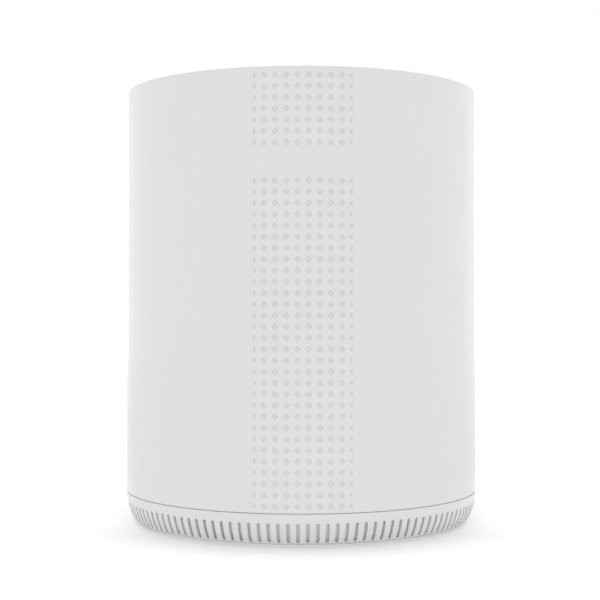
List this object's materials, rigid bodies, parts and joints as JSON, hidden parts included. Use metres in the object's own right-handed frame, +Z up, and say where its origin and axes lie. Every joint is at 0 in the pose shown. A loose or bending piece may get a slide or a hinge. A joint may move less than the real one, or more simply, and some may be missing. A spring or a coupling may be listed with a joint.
{
  "type": "electric food waste composter",
  "caption": "Oval countertop food waste composter: lift-out bucket with motor-driven stirrer, heated pot, twist-lock lid, steam blower, carbon filter and slotted base skirt.",
  "frame": {"origin": "centre of the plan, on the surface that the feet stand on", "axes": "+Z up, -Y towards the front with the dimpled strip, +X to the right seen from the front, and the filter door and mains inlet on the +Y side"},
  "size_m": [0.279, 0.325, 0.36],
  "materials": {
    "white_plastic": "satin",
    "base_plastic": "matte",
    "dark_plastic": "matte",
    "dial_plastic": "satin",
    "button_white": "gloss",
    "button_green": "gloss",
    "lens_clear": "gloss",
    "foot_rubber": "matte",
    "seal_rubber": "matte",
    "plated_steel": "zinc plated",
    "liner_steel": "brushed",
    "heater_steel": "satin",
    "motor_steel": "satin",
    "gear_steel": "machined",
    "stirrer_metal": "cast, bead blasted",
    "pot_aluminium": "satin",
    "case_aluminium": "die cast",
    "bucket_coat": "dark non-stick coat",
    "bush_brass": "machined",
    "carbon": "granular",
    "board_green": "satin"
  },
  "bodies": {
    "housing": {"outer_shell": "white_plastic", "front_strip": "white_plastic", "vent_skirt": "white_plastic", "base_plate": "base_plastic", "rubber_feet": "foot_rubber", "housing_screws": "plated_steel", "frame_pillars": "plated_steel", "drive_plate": "plated_steel", "chassis_screws": "plated_steel", "top_deck": "white_plastic", "mouth_ring": "dark_plastic", "chamber_seal": "seal_rubber", "heater_pot": "pot_aluminium", "band_heater": "heater_steel", "heat_shield": "pot_aluminium", "pot_standoffs": "plated_steel", "shaft_bearings": "liner_steel", "idler_pin": "liner_steel", "motor": "motor_steel", "gear_case": "case_aluminium", "gear_cover": "case_aluminium", "steam_duct": "seal_rubber", "blower_housing": "base_plastic", "blower_motor": "motor_steel", "filter_bay": "base_plastic", "control_fascia": "dial_plastic", "control_board": "board_green", "status_lenses": "lens_clear", "fan_frame": "dark_plastic", "power_board": "board_green", "mains_inlet": "dark_plastic"},
    "bucket": {"bucket": "bucket_coat", "shaft_bush": "bush_brass", "fixed_blades": "stirrer_metal", "bail_pins": "plated_steel"},
    "bail": {"bucket_bail": "liner_steel", "bail_grip": "dark_plastic"},
    "stirrer": {"stirrer": "stirrer_metal", "stirrer_shaft": "liner_steel", "stirrer_nut": "liner_steel", "bucket_coupler": "dark_plastic"},
    "lid": {"lid_cover": "white_plastic", "lid_liner": "liner_steel", "lid_gasket": "seal_rubber", "lid_screws": "plated_steel"},
    "dial": {"lock_dial": "dial_plastic", "lock_bar": "liner_steel", "lock_screw": "plated_steel"},
    "output_drive": {"output_shaft": "liner_steel", "output_gear": "gear_steel", "drive_coupler": "dark_plastic"},
    "idler": {"idler_gear": "gear_steel"},
    "motor_rotor": {"motor_pinion": "gear_steel"},
    "blower_rotor": {"blower_wheel": "dark_plastic"},
    "fan_rotor": {"fan_rotor": "dark_plastic"},
    "filter": {"filter_case": "dark_plastic", "filter_carbon": "carbon"},
    "door": {"filter_door": "white_plastic"},
    "power_button": {"power_button": "button_white"},
    "start_button": {"start_button": "button_green"}
  },
  "joints": [
    {"name": "bucket_lift", "type": "slide", "parent": "housing", "child": "bucket", "axis": [0, 0, 1], "range_m": [0, 0.2]},
    {"name": "lid_lift", "type": "slide", "parent": "bucket", "child": "lid", "axis": [0, 0, 1], "range_m": [0, 0.18]},
    {"name": "dial_turn", "type": "hinge", "parent": "lid", "child": "dial", "pos_m": [0, -0.023, 0.345], "axis": [0, 0, 1], "range_deg": [-40, 0]},
    {"name": "bail_swing", "type": "hinge", "parent": "bucket", "child": "bail", "pos_m": [0, -0.023, 0.3215], "axis": [1, 0, 0], "range_deg": [0, 90]},
    {"name": "drive_spin", "type": "hinge", "parent": "housing", "child": "output_drive", "pos_m": [0, -0.023, 0.12], "axis": [0, 0, 1], "continuous": true},
    {"name": "stirrer_spin", "type": "hinge", "parent": "bucket", "child": "stirrer", "pos_m": [0, -0.023, 0.2], "axis": [0, 0, 1], "continuous": true},
    {"name": "idler_spin", "type": "hinge", "parent": "housing", "child": "idler", "pos_m": [0, 0.037, 0.12], "axis": [0, 0, 1], "continuous": true},
    {"name": "motor_spin", "type": "hinge", "parent": "housing", "child": "motor_rotor", "pos_m": [0, 0.08075, 0.12], "axis": [0, 0, 1], "continuous": true},
    {"name": "blower_spin", "type": "hinge", "parent": "housing", "child": "blower_rotor", "pos_m": [0, 0.1145, 0.272], "axis": [0, 1, 0], "continuous": true},
    {"name": "fan_spin", "type": "hinge", "parent": "housing", "child": "fan_rotor", "pos_m": [0, -0.092, 0.02], "axis": [0, 0, 1], "continuous": true},
    {"name": "filter_pull", "type": "slide", "parent": "housing", "child": "filter", "axis": [0, 1, 0], "range_m": [0, 0.08]},
    {"name": "door_pull", "type": "slide", "parent": "filter", "child": "door", "axis": [0, 1, 0], "range_m": [0, 0.04]},
    {"name": "power_press", "type": "slide", "parent": "housing", "child": "power_button", "axis": [0, 0, -1], "range_m": [0, 0.0012], "stiffness_N_per_m": 600, "springref_m": -0.0005},
    {"name": "start_press", "type": "slide", "parent": "housing", "child": "start_button", "axis": [0, 0, -1], "range_m": [0, 0.0012], "stiffness_N_per_m": 600, "springref_m": -0.0005}
  ],
  "couplings": [
    {"joint": "bail_swing", "follows": "lid_lift", "rad_per_m": 8.7266},
    {"joint": "stirrer_spin", "follows": "drive_spin", "ratio": 1},
    {"joint": "idler_spin", "follows": "drive_spin", "ratio": -4},
    {"joint": "motor_spin", "follows": "drive_spin", "ratio": 16}
  ]
}
